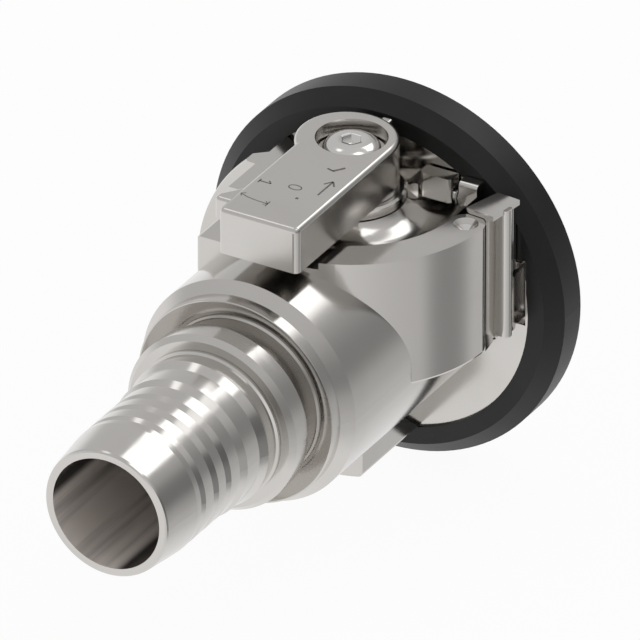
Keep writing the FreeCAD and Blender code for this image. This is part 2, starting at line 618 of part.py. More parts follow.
def build_latch():
    """Return the right latch: an eye on the pin, a finger plate, an arm and a hook."""
    body = latch_slab([
        (-3.5, 8.6), (-2.4, 3.0), (9.4, 1.9), (9.3, 13.0), (8.8, 17.2),
        (9.8, 23.0), (11.0, 27.5), (10.8, 30.0), (1.0, 30.0), (-3.5, 25.0),
    ], LOBE_FLOOR_Z, LATCH_TOP_Z - LATCH_CAP)
    body = body.cut(rod_z(LOBE_END_R + 0.4, LOBE_FLOOR_Z - 1, LATCH_TOP_Z - LATCH_CAP, LATCH_X, LATCH_Y))
    cap = latch_slab([
        (-5.2, 9.3), (10.8, 7.9), (11.8, 15.5), (13.7, 28.6), (1.0, 29.8),
    ], LATCH_TOP_Z - LATCH_CAP, LATCH_TOP_Z)
    bead = rod_z(LATCH_BEAD_R, LOBE_FLOOR_Z + 1, LATCH_TOP_Z - 1, LATCH_BEAD_X, LATCH_BEAD_Y)
    bead = rounded(bead, 0.9, lambda e: lies_at(e, LOBE_FLOOR_Z + 1))
    eye = rod_z(LATCH_EYE_R, 14.0, 52.0, LATCH_X, LATCH_Y)
    web = block((LATCH_X - 6.4, LATCH_X + 5.6), (LATCH_Y, LATCH_Y + 11), (14.0, 52.0))
    arm = block(LATCH_ARM_X, (LATCH_Y + 25, LATCH_TIP_Y), LATCH_ARM_Z)
    hook = slab([(LATCH_HOOK_X, LATCH_HOOK_Y), (LATCH_X + 7, LATCH_HOOK_Y), (LATCH_X + 7, LATCH_TIP_Y),
                 (LATCH_HOOK_X + 3.2, LATCH_TIP_Y)], LATCH_ARM_Z[0], LATCH_ARM_Z[1])
    pin = rod_z(LATCH_PIN_R + RUNNING_GAP, -100, 100, LATCH_X, LATCH_Y)
    return hollowed(joined(body, cap, bead, eye, web, arm, hook), pin)


def build_latch_pin():
    """Return the upright pivot pin with a dimpled end."""
    top = LAND_Z - 2.4
    pin = rod_z(LATCH_PIN_R, LOBE_FLOOR_Z + 0.6, top, LATCH_X, LATCH_Y)
    dimple = Part.makeCone(0.1, LATCH_PIN_R - 0.2, 4.6, Vector(LATCH_X, LATCH_Y, top - 4.6), Z_AXIS)
    return pin.cut(dimple)


def build_latch_spring():
    """Return the coil round the latch pin that turns the latch inwards."""
    return coil(0.7, 5.9, 1.7, 8.2, Vector(LATCH_X, LATCH_Y, LATCH_SPRING_Z), Z_AXIS)


# Interlock pawl
def build_pawl():
    """Return the pawl block that leans against the disc."""
    lump = block(PAWL_X, (PAWL_FRONT_Y, DISC_BACK_Y - 1.2), (BARREL_R - 3.5, PAWL_TOP_Z))
    lump = rounded(lump, 2.4, lambda e: is_upright(e) and e.CenterOfMass.y < 260)
    return hollowed(lump, rod_x(PAWL_PIN_R + RUNNING_GAP, 0, 90, PAWL_PIN_Y, PAWL_PIN_Z))


def make_nodes():
    """Return every node's solid by name, in the order of assembly."""
    nodes = {}
    nodes["valve_body"] = build_body()
    nodes["bumper_ring"] = build_bumper()
    nodes["bumper_screws"] = build_bumper_screws()
    nodes["nose_seal"] = Part.makeTorus(
        NOSE_SEAL_R, 2.4, Vector(0, NOSE_FACE_Y - 1.6, 0), Y_AXIS).common(
        tube_y(NOSE_SEAL_R + 2.4, NOSE_SEAL_R - 2.4, NOSE_FACE_Y - 3.0, NOSE_FACE_Y + 5))
    nodes["seat_ring"] = tube_y(CHAMBER_R, SEAT_OPENING_R, SEAT_Y, SEAT_FACE_Y)
    nodes["front_guide"] = build_spider(GUIDE_Y, SEAT_Y - GUIDE_Y, CHAMBER_R, 3)
    nodes["rear_guide"] = build_spider(REAR_GUIDE_Y, REAR_GUIDE_LENGTH, CHAMBER_R, 3)
    nodes["hose_tail"] = build_hose_tail()
    nodes["swivel_balls"] = build_balls()
    nodes["swivel_seal"] = tube_y(
        JOURNAL_R + SEAL_DEPTH, JOURNAL_R + 0.03, SEAL_Y, SEAL_Y + SEAL_WIDTH)
    nodes["swivel_wiper"] = tube_y(JOURNAL_R + 2.2, JOURNAL_R + 0.03, WIPER_Y, WIPER_Y + 2.4)
    plug = rod_z(4.4, JOURNAL_R + 4.2, BARREL_R - 4.6, 0, BALL_Y)
    plug = plug.fuse(rod_z(6.6, BARREL_R - 5.0, BARREL_R - 1.0, 0, BALL_Y))
    plug = plug.cut(hexagon(5.0, BARREL_R - 3.4, BARREL_R, 0, BALL_Y)).removeSplitter()
    nodes["ball_plug"] = around_flow(plug, 225)
    nodes["poppet_head"] = build_poppet_head()
    nodes["poppet_seal"] = Part.makeTorus(
        POPPET_SEAL_R, 1.7, Vector(0, SEAT_FACE_Y + MOVING_GAP + 1.4, 0), Y_AXIS).common(
        tube_y(60, 30, SEAT_FACE_Y + 0.05, NOSE_FACE_Y))
    nodes["poppet_stem"] = build_poppet_stem()
    nut = hexagon(15.0, NOSE_FACE_Y - 3.8, NOSE_FACE_Y - 0.8, 0, 0, upright=False)
    nodes["poppet_nut"] = nut.cut(rod_y(STEM_R - 3, 200, 300))
    nodes["poppet_rack"] = build_rack()
    nodes["rack_screws"] = Part.makeCompound(
        [rod_z(1.6, -RACK_Z[0], RACK_Z[0] + 8, -18.6, y) for y in (213.0, 235.0)])
    nodes["pinion"] = build_pinion()
    nodes["pinion_key"] = key_seat()
    nodes["pinion_clip"] = tube_z(9.4, 6.0, PINION_Z[0] - 1.1, PINION_Z[0])
    nodes["spindle"] = build_spindle()
    nodes["thrust_washer"] = tube_z(17.0, SPINDLE_R, PINION_Z[1], BOSS_FLOOR_Z - MOVING_GAP)
    nodes["spindle_bush_lower"] = tube_z(BUSH_R, SPINDLE_R + RUNNING_GAP, BOSS_FLOOR_Z, 36.0)
    nodes["spindle_bush_upper"] = tube_z(BUSH_R, SPINDLE_R + RUNNING_GAP, 48.0, NECK_TOP_Z)
    nodes["spindle_seals"] = Part.makeCompound(
        [tube_z(BUSH_R, SPINDLE_R + 0.03, z, z + 4.0) for z in (37.0, 43.0)])
    nodes["gland_collar"] = turned_upright([
        (NECK_TOP_Z, SPINDLE_R + 0.5), (NECK_TOP_Z, GLAND_R), (GLAND_TOP_Z - 1.0, GLAND_R),
        (GLAND_TOP_Z, GLAND_R - 1.0), (GLAND_TOP_Z, SPINDLE_R + 0.5)])
    nodes["lever_shim"] = tube_z(23.3, SPINDLE_R + 0.02, GLAND_TOP_Z + MOVING_GAP, LEVER_FLOOR_Z)
    nodes["lever"] = build_lever()
    nodes["lever_washer"] = tube_z(17.0, BOLT_R, RECESS_Z, RECESS_Z + WASHER_THICKNESS)
    nodes["lever_bolt"] = build_lever_bolt()
    latch, pin, spring = build_latch(), build_latch_pin(), build_latch_spring()
    nodes["latch_right"], nodes["latch_left"] = latch, opposite(latch)
    nodes["latch_pin_right"], nodes["latch_pin_left"] = pin, opposite(pin)
    nodes["latch_spring_right"], nodes["latch_spring_left"] = spring, opposite(spring)
    nodes["interlock_pawl"] = build_pawl()
    nodes["pawl_pin"] = rod_x(PAWL_PIN_R, 19.0, PAWL_LUG_X[1], PAWL_PIN_Y, PAWL_PIN_Z)
    nodes["pawl_spring"] = coil(
        0.6, 3.3, 1.5, 2.9, Vector(PAWL_X[1] + 0.95, PAWL_PIN_Y, PAWL_PIN_Z), X_AXIS)
    return nodes


def main():
    """Write one STEP file for each node."""
    os.makedirs("parts", exist_ok=True)
    for name, shape in make_nodes().items():
        shape.exportStep("parts/" + name + ".step")
        print(name, shape.isValid(), len(shape.Solids), round(shape.Volume, 1))


if __name__ == "__main__":
    main()
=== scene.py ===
"""Looks of a dry break hose coupling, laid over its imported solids.

Everything is in metres in the frame of the solids: +Y runs along the flow from
the hose tail to the nose, +Z is up along the lever's spindle, X is across.
"""
import json
import logging
import math
from dataclasses import dataclass
from enum import Enum
from typing import Any

import bmesh
import bpy
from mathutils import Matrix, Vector


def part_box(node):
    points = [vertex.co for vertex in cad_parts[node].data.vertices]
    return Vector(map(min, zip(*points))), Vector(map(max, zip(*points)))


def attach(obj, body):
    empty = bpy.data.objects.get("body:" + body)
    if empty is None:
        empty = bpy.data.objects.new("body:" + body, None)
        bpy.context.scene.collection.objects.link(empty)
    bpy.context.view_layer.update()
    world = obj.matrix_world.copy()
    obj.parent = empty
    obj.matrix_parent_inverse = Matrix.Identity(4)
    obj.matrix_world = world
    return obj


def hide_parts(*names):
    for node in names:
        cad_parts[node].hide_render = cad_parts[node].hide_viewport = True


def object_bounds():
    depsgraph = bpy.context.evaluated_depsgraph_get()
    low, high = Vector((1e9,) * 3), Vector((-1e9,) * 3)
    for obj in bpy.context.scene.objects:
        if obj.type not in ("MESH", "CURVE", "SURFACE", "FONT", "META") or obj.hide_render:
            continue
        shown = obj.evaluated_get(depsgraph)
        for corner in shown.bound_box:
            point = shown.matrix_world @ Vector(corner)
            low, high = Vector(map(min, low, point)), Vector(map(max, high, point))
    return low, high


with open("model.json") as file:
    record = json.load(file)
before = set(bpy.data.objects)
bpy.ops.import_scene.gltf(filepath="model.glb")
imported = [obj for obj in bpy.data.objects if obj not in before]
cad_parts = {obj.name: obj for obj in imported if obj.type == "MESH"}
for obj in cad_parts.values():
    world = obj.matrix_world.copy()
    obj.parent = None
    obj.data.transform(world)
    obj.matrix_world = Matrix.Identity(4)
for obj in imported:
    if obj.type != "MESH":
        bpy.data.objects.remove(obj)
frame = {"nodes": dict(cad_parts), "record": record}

LOG = logging.getLogger("dry_break_coupling")
CAD_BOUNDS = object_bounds()
MM = 0.001
LEAST_LEVEL = 0.001  # keeps a division away from nought, straight up and straight down
COLOUR_FIRST, COLOUR_SECOND, COLOUR_RESULT = 6, 7, 2  # sockets of a Mix node, whose names repeat

Socket = bpy.types.NodeSocket
Colour = tuple[float, float, float]


class Grain(Enum):
    """The fine surface that a steel piece keeps from how it was made."""

    TURNED = "turned_lines"
    BLASTED = "blasted_skin"
    DRAWN = "drawn_wire"


@dataclass(frozen=True)
class Ramp:
    """A smooth change from one level to another, over a span of some value."""

    start: float
    end: float
    low: float = 0.0
    high: float = 1.0


@dataclass(frozen=True)
class GrainPattern:
    """How fine a grain is, and how its roughness changes over broader areas."""

    detail: float
    broad_share: float
    change: float
    broad_detail: float = 2.0
    round_the_flow: bool = False


GRAIN_PATTERNS = {
    Grain.TURNED: GrainPattern(detail=3.0, broad_share=0.12, change=0.16, round_the_flow=True),
    Grain.BLASTED: GrainPattern(detail=2.0, broad_share=0.02, change=0.12),
    Grain.DRAWN: GrainPattern(detail=1.0, broad_share=1.0, change=0.2, broad_detail=1.0),
}
NOISE_MIDDLE = 0.5
HANDLING_DETAIL = 4.0
HANDLING_EDGE = Ramp(0.45, 0.75)


def opaque(colour: Colour) -> tuple[float, float, float, float]:
    """Return a colour with full alpha."""
    return (*colour, 1.0)


def heading(azimuth: float, elevation: float = 0.0) -> Vector:
    """Return a direction.

    Args:
        azimuth: Degrees from the flow towards +X.
        elevation: Degrees above the horizon.

    Returns:
        The direction, one unit long.
    """
    turn, rise = math.radians(azimuth), math.radians(elevation)
    return Vector((math.sin(turn) * math.cos(rise), math.cos(turn) * math.cos(rise), math.sin(rise)))


class Wiring:
    """Adds nodes to one shader tree and joins them."""

    def __init__(self, tree: bpy.types.NodeTree) -> None:
        """Keep the tree that the nodes go into.

        Args:
            tree: The node tree of a material, a world or a node group.
        """
        self.tree = tree

    def node(self, kind: str, **settings: Any) -> bpy.types.Node:
        """Add one node.

        Args:
            kind: The node's type, without the leading word that all share.
            **settings: Properties to set on the node.

        Returns:
            The new node.
        """
        made = self.tree.nodes.new("ShaderNode" + kind)
        for name, value in settings.items():
            setattr(made, name, value)
        return made

    def feed(self, target: Socket, source: Any) -> None:
        """Link an output to an input, or set a plain value on it.

        Args:
            target: The input socket.
            source: An output socket or a plain value.
        """
        if isinstance(source, bpy.types.NodeSocket):
            self.tree.links.new(source, target)
        else:
            target.default_value = source

    def maths(self, operation: str, first: Any, second: Any = 0.0, clamp: bool = False) -> Socket:
        """Add a Math node.

        Args:
            operation: The node's operation.
            first: The first value or socket.
            second: The second value or socket.
            clamp: Whether the result is kept between 0 and 1.

        Returns:
            The node's output.
        """
        made = self.node("Math", operation=operation, use_clamp=clamp)
        self.feed(made.inputs[0], first)
        self.feed(made.inputs[1], second)
        return made.outputs[0]

    def span(self, value: Any, ramp: Ramp) -> Socket:
        """Map a value smoothly along a ramp.

        Args:
            value: The value or socket to map.
            ramp: The span of the value and the levels at its ends.

        Returns:
            The mapped value.
        """
        made = self.node("MapRange", interpolation_type="SMOOTHSTEP")
        for name, item in zip(("Value", "From Min", "From Max", "To Min", "To Max"),
                              (value, ramp.start, ramp.end, ramp.low, ramp.high)):
            self.feed(made.inputs[name], item)
        return made.outputs["Result"]

    def mix(self, factor: Any, first: Any, second: Any) -> Socket:
        """Mix two values.

        Args:
            factor: How much of the second value counts.
            first: The first value or socket.
            second: The second value or socket.

        Returns:
            The mixed value.
        """
        made = self.node("Mix", data_type="FLOAT")
        for name, item in zip(("Factor", "A", "B"), (factor, first, second)):
            self.feed(made.inputs[name], item)
        return made.outputs["Result"]

    def shade(self, factor: Any, first: Any, second: Any) -> Socket:
        """Mix two colours.

        Args:
            factor: How much of the second colour shows.
            first: The first colour or socket.
            second: The second colour or socket.

        Returns:
            The mixed colour.
        """
        made = self.node("Mix", data_type="RGBA")
        self.feed(made.inputs["Factor"], factor)
        self.feed(made.inputs[COLOUR_FIRST], first)
        self.feed(made.inputs[COLOUR_SECOND], second)
        return made.outputs[COLOUR_RESULT]

    def along(self, direction: Socket, axis: Vector) -> Socket:
        """Return how far a direction runs along an axis.

        Args:
            direction: The direction's socket.
            axis: The axis, one unit long.

        Returns:
            The product of the two.
        """
        made = self.node("VectorMath", operation="DOT_PRODUCT")
        self.feed(made.inputs[0], direction)
        made.inputs[1].default_value = axis
        return made.outputs["Value"]

    def stretched(self, scale: Colour) -> Socket:
        """Return the piece's own coordinates, scaled.

        Args:
            scale: The factor along each axis.

        Returns:
            The scaled coordinates.
        """
        made = self.node("Mapping")
        made.inputs["Scale"].default_value = scale
        self.feed(made.inputs["Vector"], self.node("TexCoord").outputs["Object"])
        return made.outputs[0]

    def effect(self, group: bpy.types.NodeTree, place: Socket, size: float, amount: float) -> bpy.types.Node:
        """Add one of the shared surface effects.

        Args:
            group: The effect's node group.
            place: Where it is read.
            size: Its size in metres.
            amount: How strong it is.

        Returns:
            The group node.
        """
        made = self.node("Group", node_tree=group)
        self.feed(made.inputs["Place"], place)
        made.inputs["Size"].default_value = size
        made.inputs["Amount"].default_value = amount
        return made


class SurfaceGroups:
    """The surface effects that several finishes share, each one node group."""

    def __init__(self) -> None:
        """Build every group once."""
        self.by_grain = {kind: self._grain(kind, pattern) for kind, pattern in GRAIN_PATTERNS.items()}
        self.handling = self._handling_marks()

    def _start(self, name: str, outputs: tuple[str, ...]) -> tuple[Wiring, Any, Any]:
        """Open a group with a place input, a size and an amount.

        Args:
            name: The group's name.
            outputs: The names of its value outputs.

        Returns:
            The group's wiring, its input node and its output node.
        """
        tree = bpy.data.node_groups.new(name, "ShaderNodeTree")
        tree.interface.new_socket("Place", in_out="INPUT", socket_type="NodeSocketVector")
        tree.interface.new_socket("Size", in_out="INPUT", socket_type="NodeSocketFloat")
        tree.interface.new_socket("Amount", in_out="INPUT", socket_type="NodeSocketFloat")
        for label in outputs:
            tree.interface.new_socket(label, in_out="OUTPUT", socket_type="NodeSocketFloat")
        wiring = Wiring(tree)
        return wiring, tree.nodes.new("NodeGroupInput"), tree.nodes.new("NodeGroupOutput")

    def _noise(self, wiring: Wiring, place: Socket, scale: Socket, detail: float) -> Socket:
        """Add a noise texture.

        Args:
            wiring: The tree's wiring.
            place: Where the noise is read.
            scale: How fine it is, per metre.
            detail: How many finer layers it has.

        Returns:
            The noise from 0 to 1.
        """
        made = wiring.node("TexNoise")
        wiring.feed(made.inputs["Vector"], place)
        wiring.feed(made.inputs["Scale"], scale)
        made.inputs["Detail"].default_value = detail
        return made.outputs["Fac"]

    def _round_the_flow(self, wiring: Wiring, place: Socket) -> Socket:
        """Return coordinates that only change along the flow and with the distance from its axis.

        Args:
            wiring: The tree's wiring.
            place: The coordinates that are folded.

        Returns:
            The folded coordinates.
        """
        parts = wiring.node("SeparateXYZ")
        wiring.feed(parts.inputs[0], place)
        across = wiring.node("CombineXYZ")
        wiring.feed(across.inputs[0], parts.outputs[0])
        wiring.feed(across.inputs[2], parts.outputs[2])
        length = wiring.node("VectorMath", operation="LENGTH")
        wiring.feed(length.inputs[0], across.outputs[0])
        spread = wiring.node("CombineXYZ")
        wiring.feed(spread.inputs[0], parts.outputs[1])
        wiring.feed(spread.inputs[1], length.outputs["Value"])
        return spread.outputs[0]

    def _grain(self, kind: Grain, pattern: GrainPattern) -> bpy.types.NodeTree:
        """Return a fine grain with a slow change of roughness.

        Args:
            kind: The grain, which names the group.
            pattern: How fine and how uneven it is.

        Returns:
            The node group, with a height and a roughness output.
        """
        wiring, given, wanted = self._start(kind.value, ("Height", "Roughness"))
        place = given.outputs["Place"]
        if pattern.round_the_flow:
            place = self._round_the_flow(wiring, place)
        scale = wiring.maths("DIVIDE", 1.0, given.outputs["Size"])
        fine = self._noise(wiring, place, scale, pattern.detail)
        broad_scale = wiring.maths("MULTIPLY", scale, pattern.broad_share)
        broad = self._noise(wiring, place, broad_scale, pattern.broad_detail)
        height = wiring.maths("SUBTRACT", fine, NOISE_MIDDLE)
        change = wiring.maths("MULTIPLY", wiring.maths("SUBTRACT", broad, NOISE_MIDDLE), pattern.change)
        for label, level in (("Height", height), ("Roughness", change)):
            wiring.feed(wanted.inputs[label], wiring.maths("MULTIPLY", level, given.outputs["Amount"]))
        return wiring.tree

    def _handling_marks(self) -> bpy.types.NodeTree:
        """Return the soft smudges that handling leaves, as a mask."""
        wiring, given, wanted = self._start("handling_marks", ("Mask",))
        scale = wiring.maths("DIVIDE", 1.0, given.outputs["Size"])
        cloud = self._noise(wiring, given.outputs["Place"], scale, HANDLING_DETAIL)
        mask = wiring.span(cloud, HANDLING_EDGE)
        wiring.feed(wanted.inputs["Mask"], wiring.maths("MULTIPLY", mask, given.outputs["Amount"]))
        return wiring.tree


class Finish:
    """A material on one Principled shader, with steps that the finishes share."""

    def begin(self, name: str, metallic: float = 0.0) -> tuple[bpy.types.Material, Wiring, bpy.types.Node]:
        """Start the material.

        Args:
            name: The material's name.
            metallic: How metallic it is.

        Returns:
            The material, its wiring and its shader.
        """
        material = bpy.data.materials.new(name)
        material.use_nodes = True
        shader = material.node_tree.nodes["Principled BSDF"]
        shader.inputs["Metallic"].default_value = metallic
        return material, Wiring(material.node_tree), shader

    def bump(self, wiring: Wiring, shader: bpy.types.Node, height: Socket, strength: float,
             distance: float) -> None:
        """Let a height shape the light on the shader.

        Args:
            wiring: The material's wiring.
            shader: The shader.
            height: The height's socket.
            strength: How strongly it shows.
            distance: How deep it is, in metres.
        """
        made = wiring.node("Bump")
        made.inputs["Strength"].default_value = strength
        made.inputs["Distance"].default_value = distance
        wiring.feed(made.inputs["Height"], height)
        wiring.feed(shader.inputs["Normal"], made.outputs[0])


@dataclass(frozen=True)
class SteelFinish(Finish):
    """A bare metal finish."""

    slot: str
    colour: Colour
    shade: Colour
    roughness: float
    grain: Grain
    grain_size: float
    relief: float
    handling: float = 0.35
    handling_size: float = 35 * MM
    handling_roughness: float = 0.05
    grain_depth: float = 0.2

    def build(self, groups: SurfaceGroups) -> bpy.types.Material:
        """Make the material.

        Args:
            groups: The shared surface effects.

        Returns:
            The finished material, named after its slot.
        """
        material, wiring, shader = self.begin(self.slot + "_finish", metallic=1.0)
        place = wiring.node("TexCoord").outputs["Object"]
        grain = wiring.effect(groups.by_grain[self.grain], place, self.grain_size, 1.0)
        marks = wiring.effect(groups.handling, place, self.handling_size, self.handling)
        tint = wiring.shade(marks.outputs["Mask"], opaque(self.colour), opaque(self.shade))
        wiring.feed(shader.inputs["Base Color"], tint)
        rough = wiring.maths("ADD", grain.outputs["Roughness"], self.roughness)
        worn = wiring.maths("MULTIPLY", marks.outputs["Mask"], self.handling_roughness)
        wiring.feed(shader.inputs["Roughness"], wiring.maths("ADD", rough, worn, True))
        self.bump(wiring, shader, grain.outputs["Height"], self.relief, self.grain_size * self.grain_depth)
        return material


@dataclass(frozen=True)
class BoreFinish(Finish):
    """The dull metal inside the hose tail, streaked along the flow, with painted shade on two sides.

    The painted shade runs along the two sides that are turned away from the lit side,
    which faces +X at the given elevation in degrees above the horizon, and its opposite.
    """

    colour: Colour = (0.96, 0.88, 0.82)
    streak: Colour = (0.22, 0.195, 0.18)
    # painted shade: the dark colour laid on the two sides turned away from the lit side
    painted_shade: Colour = (0.02, 0.018, 0.017)
    metallic: float = 0.15
    roughness: float = 0.30
    streak_roughness: float = 0.2
    streak_size: float = 0.010
    streak_scale: Colour = (1.0, 0.03, 1.0)
    # elevation of the lit side, which the painted shade spares
    lit_elevation: float = 49.4
    painted_shade_edge: Ramp = Ramp(0.50, 0.70, 1.0, 0.0)

    def build(self, groups: SurfaceGroups) -> bpy.types.Material:
        """Make the material.

        Args:
            groups: The shared surface effects.

        Returns:
            The finished material.
        """
        material, wiring, shader = self.begin("bore_finish", self.metallic)
        long = wiring.stretched(self.streak_scale)
        marks = wiring.effect(groups.handling, long, self.streak_size, 1.0)
        tint = wiring.shade(marks.outputs["Mask"], opaque(self.colour), opaque(self.streak))
        # Painted shade: the colour darkens towards the two sides turned away from the lit side and its
        # opposite.
        radial = wiring.node("VectorMath", operation="NORMALIZE")
        wiring.feed(radial.inputs[0], wiring.stretched((1.0, 0.0, 1.0)))
        lit_side = heading(90.0, self.lit_elevation)
        facing = wiring.maths("ABSOLUTE", wiring.along(radial.outputs[0], lit_side))
        painted_shade_mask = wiring.span(facing, self.painted_shade_edge)
        wiring.feed(shader.inputs["Base Color"], wiring.shade(painted_shade_mask, tint, opaque(self.painted_shade)))
        rough = wiring.maths("MULTIPLY", marks.outputs["Mask"], self.streak_roughness)
        wiring.feed(shader.inputs["Roughness"], wiring.maths("ADD", rough, self.roughness, True))
        return material


@dataclass(frozen=True)
class EngravedFinish(Finish):
    """The dull dark ground of strokes cut into steel."""

    colour: Colour = (0.20, 0.19, 0.18)
    worn: Colour = (0.32, 0.304, 0.288)
    roughness: float = 0.5
    wear_size: float = 2 * MM
    wear: float = 0.6

    def build(self, groups: SurfaceGroups) -> bpy.types.Material:
        """Make the material.

        Args:
            groups: The shared surface effects.

        Returns:
            The finished material.
        """
        material, wiring, shader = self.begin("engraved_finish", metallic=1.0)
        shader.inputs["Roughness"].default_value = self.roughness
        place = wiring.node("TexCoord").outputs["Object"]
        marks = wiring.effect(groups.handling, place, self.wear_size, self.wear)
        tint = wiring.shade(marks.outputs["Mask"], opaque(self.colour), opaque(self.worn))
        wiring.feed(shader.inputs["Base Color"], tint)
        return material


@dataclass(frozen=True)
class RubberFinish(Finish):
    """Moulded black rubber."""

    slot: str = "black_rubber"
    colour: Colour = (0.009, 0.009, 0.0092)
    dust: Colour = (0.017, 0.017, 0.0172)
    roughness: float = 0.40
    gloss: float = 0.36
    pore_size: float = 0.9 * MM
    pore_depth: float = 0.2 * MM
    relief: float = 0.06
    dust_size: float = 30 * MM
    dust_amount: float = 0.5

    def build(self, groups: SurfaceGroups) -> bpy.types.Material:
        """Make the material.

        Args:
            groups: The shared surface effects.

        Returns:
            The finished material.
        """
        material, wiring, shader = self.begin(self.slot + "_finish")
        shader.inputs["Specular IOR Level"].default_value = self.gloss
        place = wiring.node("TexCoord").outputs["Object"]
        skin = wiring.effect(groups.by_grain[Grain.BLASTED], place, self.pore_size, 1.0)
        marks = wiring.effect(groups.handling, place, self.dust_size, self.dust_amount)
        tint = wiring.shade(marks.outputs["Mask"], opaque(self.colour), opaque(self.dust))
        wiring.feed(shader.inputs["Base Color"], tint)
        rough = wiring.maths("ADD", skin.outputs["Roughness"], self.roughness, True)
        wiring.feed(shader.inputs["Roughness"], rough)
        self.bump(wiring, shader, skin.outputs["Height"], self.relief, self.pore_depth)
        return material


STEEL_FINISHES = (
    SteelFinish("cast_steel", (0.62, 0.60, 0.575), (0.57, 0.55, 0.525), 0.15, Grain.BLASTED, 0.0007, 0.018),
    SteelFinish("turned_steel", (0.63, 0.61, 0.585), (0.58, 0.56, 0.535), 0.15, Grain.TURNED, 0.0011, 0.014),
    SteelFinish("lever_steel", (0.63, 0.61, 0.585), (0.58, 0.56, 0.535), 0.19, Grain.BLASTED, 0.0006, 0.025),
    SteelFinish("bright_steel", (0.74, 0.72, 0.70), (0.68, 0.66, 0.64), 0.14, Grain.TURNED, 0.0009, 0.006),
    SteelFinish("spring_steel", (0.40, 0.39, 0.38), (0.32, 0.31, 0.30), 0.25, Grain.DRAWN, 0.0008, 0.04),
    SteelFinish("bronze", (0.72, 0.50, 0.26), (0.60, 0.40, 0.20), 0.2, Grain.TURNED, 0.0010, 0.04),
)


def slot_of(node: str) -> str:
    """Return the material slot that the record gives a node."""
    return next(part["material_slot"] for part in frame["record"]["subparts"] if part["node"] == node)


def crisp(mesh: bmesh.types.BMesh, limit: float = 32.0) -> None:
    """Shade a mesh smooth, with sharp edges where its faces meet at more than a limit.

    Args:
        mesh: The mesh to shade.
        limit: The angle in degrees.
    """
    for face in mesh.faces:
        face.smooth = True
    for edge in mesh.edges:
        edge.smooth = len(edge.link_faces) == 2 and edge.calc_face_angle(0.0) < math.radians(limit)


def new_piece(name: str, mesh: bmesh.types.BMesh, body: str, slot: str,
              material: bpy.types.Material) -> bpy.types.Object:
    """Turn a bmesh into a named piece that rides on a body.

    Args:
        name: The piece's name.
        mesh: Its geometry, which is freed.
        body: The body it moves with.
        slot: The record's material slot; not used.
        material: Its finish.

    Returns:
        The new object.
    """
    data = bpy.data.meshes.new(name)
    bmesh.ops.recalc_face_normals(mesh, faces=mesh.faces)
    mesh.to_mesh(data)
    mesh.free()
    data.materials.append(material)
    piece = bpy.data.objects.new(name, data)
    bpy.context.scene.collection.objects.link(piece)
    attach(piece, body)
    LOG.info("piece %s on %s: %d faces", name, body, len(data.polygons))
    return piece


@dataclass(frozen=True)
class Coupling:
    """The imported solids, each with its finish."""

    finishes: dict[str, bpy.types.Material]
    inward: float = -0.5

    def dress(self) -> None:
        """Give every solid the finish of its slot."""
        for part in frame["record"]["subparts"]:
            solid = frame["nodes"][part["node"]]
            solid.data.materials.clear()
            solid.data.materials.append(self.finishes[part["material_slot"]])
            LOG.info("solid %s: %s", part["node"], part["material_slot"])
        self._line_bore()

    def _line_bore(self) -> None:
        """Give the faces inside the hose tail the dull finish of a bore."""
        tail = frame["nodes"]["hose_tail"].data
        tail.materials.append(self.finishes["bore"])
        for face in tail.polygons:
            across = Vector((face.center.x, 0.0, face.center.z))
            if face.normal.dot(across) < self.inward * across.length:
                face.material_index = 1


@dataclass(frozen=True)
class LeverBolt:
    """The button head bolt in the lever's recess, with a round dome and a hexagon socket."""

    y: float = 235.4
    foot: float = 63.0
    seat: float = 84.0
    top: float = 90.6
    shank_radius: float = 5.0
    head_radius: float = 14.4
    flat_radius: float = 7.4
    edge_height: float = 1.3
    edge_chamfer: float = 0.6
    socket_half: float = 4.3
    socket_floor: float = 85.8
    socket_chamfer: tuple[float, float] = (0.5, 0.45)
    steps: int = 96
    dome_steps: int = 14

    def build(self, material: bpy.types.Material) -> None:
        """Turn the bolt and sink its socket.

        Args:
            material: The finish of bright steel.
        """
        wider, deeper = self.socket_chamfer
        mesh = bmesh.new()
        rings = [self._ring(mesh, radius, level) for radius, level in self._profile()]
        sides = ((self.socket_half + wider, self.top), (self.socket_half, self.top - deeper),
                 (self.socket_half, self.socket_floor))
        rings += [self._ring(mesh, half, level, hexagon=True) for half, level in sides]
        for lower, upper in zip(rings, rings[1:]):
            for step in range(self.steps):
                after = (step + 1) % self.steps
                mesh.faces.new((lower[step], lower[after], upper[after], upper[step]))
        mesh.faces.new(rings[0])
        mesh.faces.new(rings[-1])
        crisp(mesh)
        piece = new_piece("lever_bolt_fine", mesh, "handle", "bright_steel", material)
        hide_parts("lever_bolt")

    def _profile(self) -> list[tuple[float, float]]:
        """Return the radius and level of each ring, from the shank's foot to the flat on top."""
        shoulder = self.seat + self.edge_height
        rings = [(self.shank_radius, self.foot), (self.shank_radius, self.seat),
                 (self.head_radius - self.edge_chamfer, self.seat),
                 (self.head_radius, self.seat + self.edge_chamfer)]
        for step in range(self.dome_steps + 1):
            turn = math.pi / 2 * step / self.dome_steps
            radius = self.flat_radius + (self.head_radius - self.flat_radius) * math.cos(turn)
            rings.append((radius, shoulder + (self.top - shoulder) * math.sin(turn)))
        return rings

    def _ring(self, mesh: bmesh.types.BMesh, radius: float, level: float,
              hexagon: bool = False) -> list[bmesh.types.BMVert]:
        """Add one ring of corners.

        Args:
            mesh: The mesh that takes the corners.
            radius: The ring's radius, or half its width across flats.
            level: Its height.
            hexagon: Whether it is a hexagon instead of a circle.

        Returns:
            The corners in order.
        """
        sixth = math.pi / 3
        corners = []
        for step in range(self.steps):
            turn = 2 * math.pi * step / self.steps
            out = radius
            if hexagon:
                out = radius / math.cos((turn + sixth / 2) % sixth - sixth / 2)
            place = (out * math.sin(turn) * MM, (self.y + out * math.cos(turn)) * MM, level * MM)
            corners.append(mesh.verts.new(place))
        return corners


